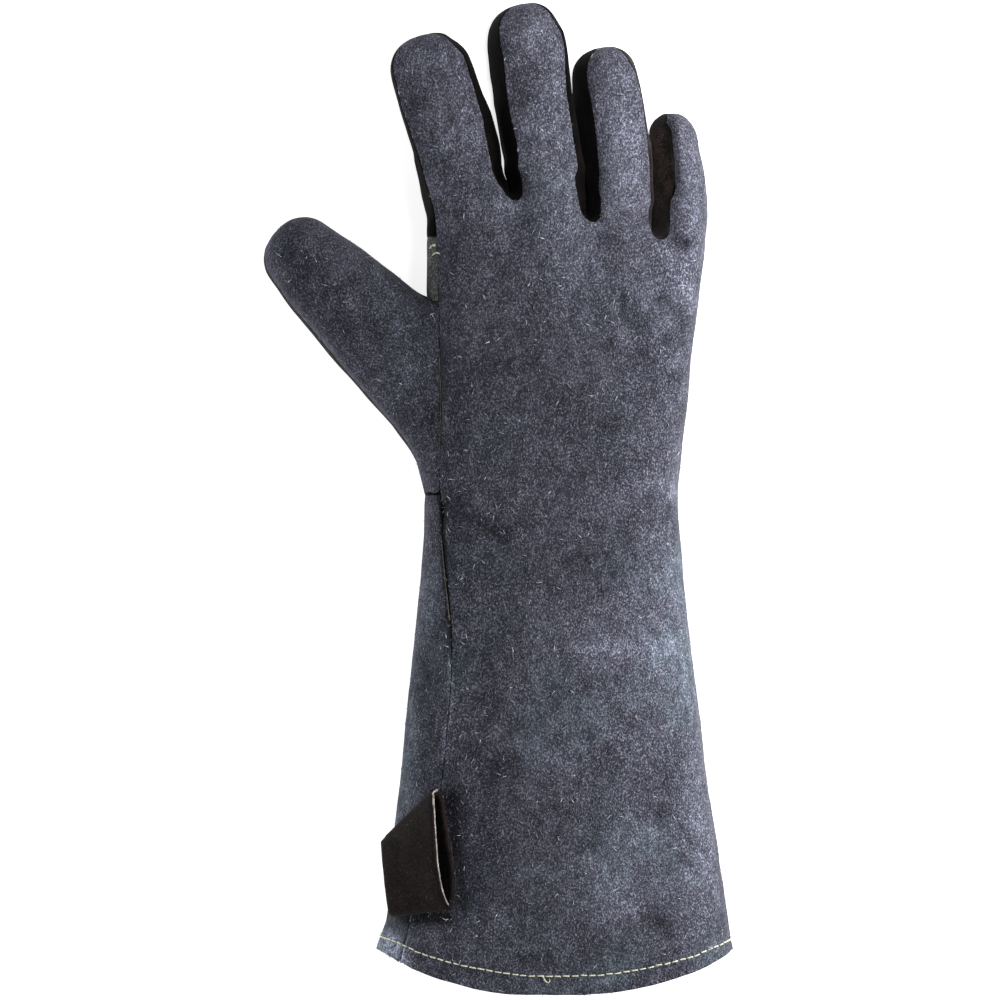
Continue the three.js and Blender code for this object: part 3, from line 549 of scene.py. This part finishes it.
def growTube(name, lines, radius, step, material):
    return bakeNodes(name, lineMesh(lines), tubeTree, {"Radius": radius * mm, "Step": step * mm, "Material": material},
                     material)


# the hem seen from above, in mm
hemCurve = dict(low=-202.5, rise=17.6, middle=22.7, halfWidth=72.8, power=2.4)


def hemAt(x):
    share = np.minimum(1, np.abs((x - hemCurve["middle"]) / hemCurve["halfWidth"]))
    return hemCurve["low"] + hemCurve["rise"] * share ** hemCurve["power"]


def runs(points, wanted):
    # stretches of a closed row of points where wanted holds
    if wanted.all() or not wanted.any():
        return [(points, True)] if wanted.all() else []
    first = next(i for i in range(len(points)) if wanted[i] and not wanted[i - 1])
    points, wanted = np.roll(points, -first, axis=0), np.roll(wanted, -first)
    found, start = [], 0
    for i in range(1, len(points) + 1):
        if i == len(points) or not wanted[i]:
            if i - start > 1 and wanted[start]:
                found.append((points[start:i], False))
            start = i + 1
    return found


# welts: strips of black leather caught in the seams, seen at the bottom of each groove
# at the patch between thumb and index finger, and at the hem, the seams are closed by the grey leather itself
weltLook = dict(radius=0.85, greyRadius=1.0, step=1.6, hemClear=1.2, blackAbove=-160, greyOverlap=6,
                patchX=(-34, -15), patchY=(72, 107), patchAbove=11)
for node in ("back_panel", "thumb_back", "cuff_underside", "palm_panel", "thumb_crotch_tab"):
    middle = (seams[node][0] + seams[node][1]) / 2
    x, y, z = middle.T
    aboveHem = y > hemAt(x) + weltLook["hemClear"]
    (left, right), (low, high) = weltLook["patchX"], weltLook["patchY"]
    grey = (x > left) & (x < right) & (y > low) & (y < high) & (z > weltLook["patchAbove"])
    lines = runs(middle, aboveHem & (y > weltLook["blackAbove"]) & ~grey)
    if lines:
        # the welts take the darker side-wall copy: black leather, with painted shade at the bottom of the grooves
        growTube("welt_" + node, lines, weltLook["radius"], weltLook["step"], shadedWallMaterial)
    lines = runs(middle, aboveHem & (y < weltLook["blackAbove"] + weltLook["greyOverlap"])) + runs(middle, grey)
    if lines:
        growTube("grey_welt_" + node, lines, weltLook["greyRadius"], weltLook["step"], suedeMaterial)

# undyed cut edge of the thumb and the cuff, a thin tan line beside the long seam
# its stretches: node, its ends along the glove, and how far it is drawn towards the thumb
rawLook = dict(radius=0.24, step=1.2, tan="#575145", grey="#3c3b40", pale="#7c786d", seamX=-23, seamReach=5, above=20,
               patterns=dict(dye=(3.0, 3, 0.55), fuzz=(0.8, 2, 0.55), fray=(0.6, 2, 0.55)),
               stretches=(("thumb_back", 4, 70, 0.0), ("cuff_underside", -62, -12, 0.45)))


def rawEdge(name, look):
    material, tree, place = newMaterial(name)
    made = noisePatterns(tree, place, look["patterns"])
    colour = layColours(tree, hexColour(look["tan"]), (
        (made["dye"], 0.42, 0.6, 1.0, look["grey"]), (made["fuzz"], 0.55, 0.7, 1.0, look["pale"])))
    bump = addNode(tree, "ShaderNodeBump", {"Strength": 0.6, "Distance": 0.3 * mm, "Height": made["fray"]}).outputs[0]
    addSurface(tree, {"Base Color": colour, "Normal": bump, "Roughness": 0.9, "IOR": 1.45, "Specular IOR Level": 0.15})
    return material


rawMaterial = rawEdge("undyed_cut_edge", rawLook)
rawLines = []
for node, low, high, aside in rawLook["stretches"]:
    top = seams[node][1]
    x, y, z = top.T
    nearSeam = (np.abs(x - rawLook["seamX"]) < rawLook["seamReach"]) & (z > rawLook["above"])
    rawLines += runs(top - (aside, 0, 0), nearSeam & (y > low) & (y < high))
growTube("cut_edge_long_seam", rawLines, rawLook["radius"], rawLook["step"], rawMaterial)
print("welts made")

# hanging loop: its outline seen from above is drawn to the worn shape, then its cut edges turn pale and fuzzy
loopLook = dict(
    step=1.0, low=-166.8, high=-119.0, rowStep=1.2, scan=(-12, -52, 0.08), layerGap=2.5,
    corner=3.4, cornerX=(-24, -44), cornerY=(-152, -166),  # the lower corner hangs by as much
    edgeShift=(-0.12, 0, 0.05), upperEdge=dict(radius=0.42, tan="#a8a39c", grey="#7d7771", pale="#e2ded7"),
    lowerEdge=dict(radius=0.26, tan="#2a2321", grey="#141010", pale="#77716b"))
# y, then x of the fold or slanted end, of the upper layer's and of the lower layer's cut edge, all in mm
loopRows = [(-119.4, -27.5, -26.5, -22.2), (-125, -33, -26.2, -21.6), (-131, -39.2, -25.9, -21.0),
            (-136, -44.2, -25.6, -20.3), (-140.3, -48, -25.3, -19.6), (-148, -47.4, -24.8, -18.0),
            (-156, -46.5, -23.6, -17.1), (-162, -45.6, -22.2, -17.0), (-167, -44.6, -19.8, -18.2)]


def treeOf(nodes):
    bm = bmesh.new()
    for node in nodes:
        bm.from_mesh(dressed[node].data)
    made = BVHTree.FromBMesh(bm)
    bm.free()
    return made


def fromAbove(tree, x, y):
    # where a plumb line at x and y, in mm, meets the leather, and the leather's normal there
    return tree.ray_cast(Vector((x, y, 90)) * mm, Vector((0, 0, -1)))[:2]


def loopEdges():
    # scanned from the right: the lower layer shows beyond the upper one
    tree = treeOf(("hanging_loop",))
    first, last, step = loopLook["scan"]
    rows = []
    for y in np.arange(loopLook["high"], loopLook["low"], -loopLook["rowStep"]):
        hits = [fromAbove(tree, x, y)[0] for x in np.arange(first, last, -step)]
        hits = [tuple(hit / mm) for hit in hits if hit]
        if hits:
            upper = [hit for hit in hits if hit[2] > hits[0][2] + loopLook["layerGap"]]
            rows.append((y, hits[-1], (upper or hits)[0], hits[0]))
    return rows


def shapeLoop(mesh, rows):
    place = readPlaces(mesh) / mm
    down = -place[:, 1]
    at, wantedAt = [-row[0] for row in rows], [-row[0] for row in loopRows]
    left, upper, lower = [np.interp(down, at, [row[k][0] for row in rows]) for k in (1, 2, 3)]
    upperZ, lowerZ = [np.interp(down, at, [row[k][2] for row in rows]) for k in (2, 3)]
    toLeft, toUpper, toLower = [np.interp(down, wantedAt, [row[k] for row in loopRows]) for k in (1, 2, 3)]
    high = np.clip((place[:, 2] - lowerZ + 1) / np.maximum(upperZ - lowerZ, 1), 0, 1)
    right = lower + (upper - lower) * high
    across = np.clip((place[:, 0] - left) / np.maximum(right - left, 1), 0, 1)
    place[:, 0] += (toLeft - left) * (1 - across) + (toLower + (toUpper - toLower) * high - right) * across
    nearCorner = ramp(place[:, 0], *loopLook["cornerX"]) * ramp(place[:, 1], *loopLook["cornerY"])
    place[:, 1] -= loopLook["corner"] * nearCorner
    writePlaces(mesh, place * mm)


shapeLoop(dressed["hanging_loop"].data, loopEdges())
rows = loopEdges()
for name, k in (("upper", 2), ("lower", 3)):
    edgeLook = dict(rawLook, **loopLook[name + "Edge"])
    edgeMaterial = rawEdge("fuzzy_" + name + "_cut_edge", edgeLook)
    # where the two layers part
    line = [np.add(row[k], loopLook["edgeShift"]) for row in rows
            if name == "upper" or row[2][2] > row[3][2] + loopLook["layerGap"]]
    growTube("loop_" + name + "_cut_edge", [(line, False)], edgeLook["radius"], loopLook["step"], edgeMaterial)
print("loop shaped")


def shapeAtPoints():
    # one shape set at each point, its x along the row and its z out of the leather
    tree, given = nodeGroup("shape_at_points", {"Shape": "Object", "Material": "Material"})
    along, out = [addNode(tree, "GeometryNodeInputNamedAttribute", {"Name": name}, data_type="FLOAT_VECTOR").outputs[0]
                  for name in ("along", "out")]
    turned = addNode(tree, "FunctionNodeAxesToRotation", {0: along, 1: out}, primary_axis="X", secondary_axis="Z")
    shape = addNode(tree, "GeometryNodeObjectInfo", {"Object": given["Shape"]})
    placed = addNode(tree, "GeometryNodeInstanceOnPoints", {"Points": given["Geometry"],
                     "Instance": shape.outputs["Geometry"], "Rotation": turned.outputs[0]})
    return endTree(tree, placed.outputs[0], given["Material"])


pointTree = shapeAtPoints()


def pointMesh(places, along, out):
    mesh = bpy.data.meshes.new("points")
    mesh.from_pydata([tuple(p) for p in places], [], [])
    for name, values in (("along", along), ("out", out)):
        mesh.attributes.new(name, "FLOAT_VECTOR", "POINT").data.foreach_set("vector", np.asarray(values, float).ravel())
    return mesh


def threadShape(length, radius, sides=6, steps=8):
    # one stitch: a short round thread that dives into the leather at both ends
    bm = bmesh.new()
    rings = []
    for i in range(steps + 1):
        share = 2 * i / steps - 1
        thick = radius * (1 - share ** 8 * 0.45)
        height = radius * 0.75 - radius * 1.5 * abs(share) ** 4
        rings.append([bm.verts.new((share * length / 2, thick * math.cos(math.tau * j / sides),
                                    height + thick * math.sin(math.tau * j / sides))) for j in range(sides)])
    for one, other in zip(rings, rings[1:]):
        for j in range(sides):
            bm.faces.new((one[j - 1], other[j - 1], other[j], one[j]))
    bm.faces.new(rings[0])
    bm.faces.new(rings[-1][::-1])
    bmesh.ops.recalc_face_normals(bm, faces=bm.faces)
    mesh = bpy.data.meshes.new("stitch")
    bm.to_mesh(mesh)
    bm.free()
    return addObject("stitch", mesh)


# polyester sewing thread, pale yellow-green, its twist drawn a little coarser than it is so that it shows
threadLook = dict(pale="#eeefdc", deep="#babc98", patterns=dict(twist=(0.5, 1, 0.5, 2.5, 40, 0)))


def sewingThread(name, look):
    material, tree, place = newMaterial(name)
    twist = noisePatterns(tree, place, look["patterns"])["twist"]
    colour = layColours(tree, hexColour(look["deep"]), ((twist, 0.4, 0.6, 1.0, look["pale"]),))
    bump = addNode(tree, "ShaderNodeBump", {"Strength": 0.5, "Distance": 0.1 * mm, "Height": twist}).outputs[0]
    addSurface(tree, {"Base Color": colour, "Normal": bump, "Roughness": 0.6, "IOR": 1.5})
    return material


threadMaterial = sewingThread("sewing_thread", threadLook)


def evenly(row, pitch):
    # middles and directions of equal steps along a closed row
    row = np.vstack((row, row[:1]))
    reach = np.concatenate(([0], np.cumsum(np.linalg.norm(np.diff(row, axis=0), axis=1))))
    count = int(reach[-1] / pitch)
    at = (np.arange(count) + 0.5) * reach[-1] / count
    places = np.stack([np.interp(at, reach, row[:, k]) for k in range(3)], 1)
    ahead = np.roll(places, -1, axis=0) - np.roll(places, 1, axis=0)
    return places, ahead / np.linalg.norm(ahead, axis=1, keepdims=True)


def hemRing(tree, side):
    # the row that the hem's stitches follow, all round the outside (1) or the inside (-1) of the cuff
    row = []
    for degrees in range(0, 360, hemLook["degrees"]):
        ray = Vector((math.cos(math.radians(degrees)), 0, math.sin(math.radians(degrees))))
        y = hemLook["startY"]
        for turn in range(hemLook["searches"]):
            start = Vector((hemLook["middle"][0], y, hemLook["middle"][1])) * mm
            spot = (tree.ray_cast(start + ray * 0.2, -ray) if side > 0 else tree.ray_cast(start, ray))[0]
            if spot:
                y = float(rowAt(spot.x / mm))
        if spot:
            row.append(tuple(spot))
    return np.array(row)


def sewHem(tree):
    chance = random.Random(hemLook["seed"])
    stitch = threadShape(hemLook["stitch"] * mm, hemLook["thread"] * mm)
    places, along, outward = [], [], []
    for side in (1, -1):
        for spot, way in zip(*evenly(hemRing(tree, side), hemLook["pitch"] * mm)):
            near, normal = tree.find_nearest(Vector(spot))[:2]
            if near.z > hemLook["floorClear"] * mm or side < 0:
                aside = Vector([chance.uniform(-1, 1) * hemLook["wander"] for axis in range(3)])
                places.append(near + aside * mm)
                along.append(Vector(way) + aside * 0.5)
                outward.append(normal)
    bakeNodes("hem_stitches", pointMesh(places, along, outward), pointTree,
              {"Shape": stitch, "Material": threadMaterial}, threadMaterial)
    bpy.data.objects.remove(stitch)


cuffTree = treeOf(("back_panel", "cuff_underside"))
sewHem(cuffTree)
# end of the sewing thread left loose at the hem: x, y and how high it stands over the leather, in mm
looseEnd = dict(radius=0.2, step=0.5, route=((17.5, -194.6, 0.15), (18.6, -195.6, 0.65), (19.4, -197.0, 0.95),
                                             (20.6, -197.4, 0.85), (21.0, -196.2, 1.05)))
looseLine = [(x, y, fromAbove(cuffTree, x, y)[0].z / mm + rise) for x, y, rise in looseEnd["route"]]
growTube("loose_thread_end", [(looseLine, False)], looseEnd["radius"], looseEnd["step"], threadMaterial)
print("hem sewn")

# bar tacks that hold the patch between thumb and index finger, x and y of both ends in mm
tackLook = dict(length=2.4, radius=0.28)
tacks = [((-28.3, 102.4), (-26.2, 103.7)), ((-26.6, 103.6), (-25.0, 103.4)), ((-27.4, 98.8), (-25.2, 100.5)),
         ((-25.6, 100.4), (-24.0, 99.9)), ((-28.4, 101.9), (-27.0, 102.6)), ((-27.2, 103.2), (-25.5, 103.0))]


def sewTacks(tree):
    stitch = threadShape(tackLook["length"] * mm, tackLook["radius"] * mm)
    places, along, outward = [], [], []
    for ends in tacks:
        (one, oneOut), (other, otherOut) = [fromAbove(tree, x, y) for x, y in ends]
        if one and other:
            places.append((one + other) / 2)
            along.append((other - one).normalized())
            outward.append((oneOut + otherOut).normalized())
    bakeNodes("bar_tacks", pointMesh(places, along, outward), pointTree,
              {"Shape": stitch, "Material": threadMaterial}, threadMaterial)
    bpy.data.objects.remove(stitch)


sewTacks(treeOf(("thumb_crotch_tab", "index_side_strip", "back_panel")))
print("tacks sewn")

# loose fibres of the suede: bent hairs lying nearly flat, in every direction, thicker than real ones so that they show
fibreLook = dict(radius=0.075, perSquareMm=0.22, shortest=0.5, longest=1.7, flat=(58, 88), clear=0.3, blockedWithin=60,
                 lowest=1.2, tuftsAbove=12, patterns=dict(which=(1.6, 1, 0.55)), dull="#4a4c58", pale="#a3a6b3", seed=5)
longLook = dict(fibreLook, perSquareMm=0.01, shortest=1.2, longest=2.6, dull="#8d909c", pale="#dadce6", seed=9)


def looseFibre(name, look):
    material, tree, place = newMaterial(name)
    which = noisePatterns(tree, place, look["patterns"])["which"]
    colour = layColours(tree, hexColour(look["dull"]), ((which, 0.45, 0.72, 1.0, look["pale"]),))
    addSurface(tree, {"Base Color": colour, "Roughness": 0.7, "IOR": 1.45, "Specular IOR Level": 0.2})
    return material


fibreMaterial = looseFibre("loose_suede_fibre", fibreLook)
longMaterial = looseFibre("long_suede_fibre", longLook)


def fibreOf(look):
    # one bent hair, 1 mm long
    bm = bmesh.new()
    corners = [(look["radius"] * math.cos(turn), look["radius"] * math.sin(turn)) for turn in (0, 2.094, 4.189)]
    lower = [bm.verts.new((x * mm, y * mm, -0.1 * mm)) for x, y in corners]
    upper = [bm.verts.new((v.co.x, v.co.y + 0.12 * mm, 0.5 * mm)) for v in lower]
    tip = bm.verts.new((0.05 * mm, 0.02 * mm, 1.0 * mm))
    for i in range(3):
        bm.faces.new((lower[i - 1], lower[i], upper[i], upper[i - 1]))
        bm.faces.new((upper[i - 1], upper[i], tip))
    bm.faces.new(lower[::-1])
    bmesh.ops.recalc_face_normals(bm, faces=bm.faces)
    mesh = bpy.data.meshes.new("fibre")
    bm.to_mesh(mesh)
    bm.free()
    return addObject("fibre", mesh)


def fibresOnLeather(look):
    tree, given = nodeGroup("fibres_on_leather", {"Shape": "Object", "Density": "Float", "Seed": "Int",
                            "Shortest": "Float", "Longest": "Float", "Material": "Material"})
    outside = addNode(tree, "GeometryNodeInputNamedAttribute", {"Name": "outside"}, data_type="FLOAT").outputs[0]
    density = addNode(tree, "ShaderNodeMath", {0: outside, 1: given["Density"]}, operation="MULTIPLY").outputs[0]
    spread = addNode(tree, "GeometryNodeDistributePointsOnFaces", {"Mesh": given["Geometry"], "Density": density,
                     "Seed": given["Seed"]})
    least, most = [math.radians(degrees) for degrees in look["flat"]]
    lean = addNode(tree, "FunctionNodeRandomValue", {0: (least, 0, 0), 1: (most, 0, math.tau), "Seed": given["Seed"]},
                   data_type="FLOAT_VECTOR")
    lean = addNode(tree, "FunctionNodeEulerToRotation", {0: lean.outputs[0]})
    turned = addNode(tree, "FunctionNodeRotateRotation", {0: spread.outputs["Rotation"], 1: lean.outputs[0]},
                     rotation_space="LOCAL")
    size = addNode(tree, "FunctionNodeRandomValue", {2: given["Shortest"], 3: given["Longest"], "Seed": given["Seed"]},
                   data_type="FLOAT")
    shape = addNode(tree, "GeometryNodeObjectInfo", {"Object": given["Shape"]})
    placed = addNode(tree, "GeometryNodeInstanceOnPoints", {"Points": spread.outputs["Points"],
                     "Instance": shape.outputs["Geometry"], "Rotation": turned.outputs[0], "Scale": size.outputs[1]})
    return endTree(tree, placed.outputs[0], given["Material"])


fibreShape = fibreOf(fibreLook)
fibreTree = fibresOnLeather(fibreLook)

# tufts of longer nap, in mm: middle, reach, how many times as many fibres
tufts = [((50, -128), 5, 5.0), ((63, 4), 5, 2.0), ((-42, -186), 5, 3.0), ((22, 92), 4, 3.0), ((-12, 20), 4, 2.5),
         ((58, -62), 7, 2.0), ((76, -88), 4, 2.5)]
allTree = treeOf([node for node in panels if node != "hanging_loop"])
for node in ("back_panel", "thumb_back", "cuff_underside", "thumb_crotch_tab"):
    ground = dressed[node].data.copy()
    share = []
    for vert in ground.vertices:  # fewer fibres on the sides, none inside or under the glove
        blocked = allTree.ray_cast(vert.co + vert.normal * fibreLook["clear"] * mm, vert.normal,
                                   fibreLook["blockedWithin"] * mm)[0]
        x, y, z = vert.co / mm
        many = 1 + sum((times - 1) * math.exp(-((x - tx) ** 2 + (y - ty) ** 2) / reach ** 2)
                       for (tx, ty), reach, times in tufts if z > fibreLook["tuftsAbove"])
        level = min(1, max(0.06, abs(vert.normal.z) * 1.3 - 0.1))
        share.append(0.0 if blocked or z < fibreLook["lowest"] else many * level)
    ground.attributes.new("outside", "FLOAT", "POINT").data.foreach_set("value", share)
    for name, look, material in (("fibres_", fibreLook, fibreMaterial), ("long_fibres_", longLook, longMaterial)):
        bakeNodes(name + node, ground, fibreTree, {"Shape": fibreShape, "Density": look["perSquareMm"] / mm ** 2,
                  "Seed": look["seed"], "Shortest": look["shortest"], "Longest": look["longest"],
                  "Material": material}, material)
bpy.data.objects.remove(fibreShape)
print("fibres grown")

# pale matt floor, which glows a little so that it comes out nearly white, and light from all round
stageLook = dict(reach=6, white=0.95, roughness=0.9, glow=0.78, around=0.31)


def paleFloor(look):
    material, tree, place = newMaterial("pale_painted_floor")
    addSurface(tree, {"Base Color": (look["white"],) * 3 + (1,), "Roughness": look["roughness"],
               "Emission Color": (1, 1, 1, 1), "Emission Strength": look["glow"]})
    mesh = bpy.data.meshes.new("floor")
    mesh.from_pydata([(x * look["reach"], y * look["reach"], 0) for x, y in ((-1, -1), (1, -1), (1, 1), (-1, 1))], [],
                     [(0, 1, 2, 3)])
    mesh.materials.append(material)
    return addObject("floor", mesh)


floor = paleFloor(stageLook)
floor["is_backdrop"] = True
world = bpy.data.worlds.new("studio")
scene.world = world
world.use_nodes = True
background = world.node_tree.nodes["Background"]
background.inputs["Color"].default_value = (1, 1, 1, 1)
background.inputs["Strength"].default_value = stageLook["around"]


def softLight(name, spot, aim, width, length, power, spread=180):
    data = bpy.data.lights.new(name, "AREA")
    data.shape = "RECTANGLE"
    data.size, data.size_y = width, length
    data.energy = power
    data.spread = math.radians(spread)
    lamp = addObject(name, data)
    away = Vector(spot) - Vector(aim)
    sideways = Vector((0, 1, 0)).cross(away).normalized()
    turn = Matrix((sideways, away.cross(sideways).normalized(), away.normalized())).transposed()
    lamp.matrix_world = Matrix.Translation(spot) @ turn.to_4x4()
    lamp.visible_camera = False


# soft studio lights in metres and watts, the strongest on the little finger's side
softLight("key", (0.33, 0.0, 0.22), (0.03, -0.03, 0.02), 0.16, 0.5, 2.65)
softLight("finger_light", (0.09, 0.20, 0.25), (0.06, 0.165, 0.02), 0.10, 0.10, 0.07, spread=55)
softLight("fill", (-0.42, -0.24, 0.18), (0.0, -0.10, 0.02), 0.16, 0.5, 1.2)
print("stage and light made")

low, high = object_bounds()
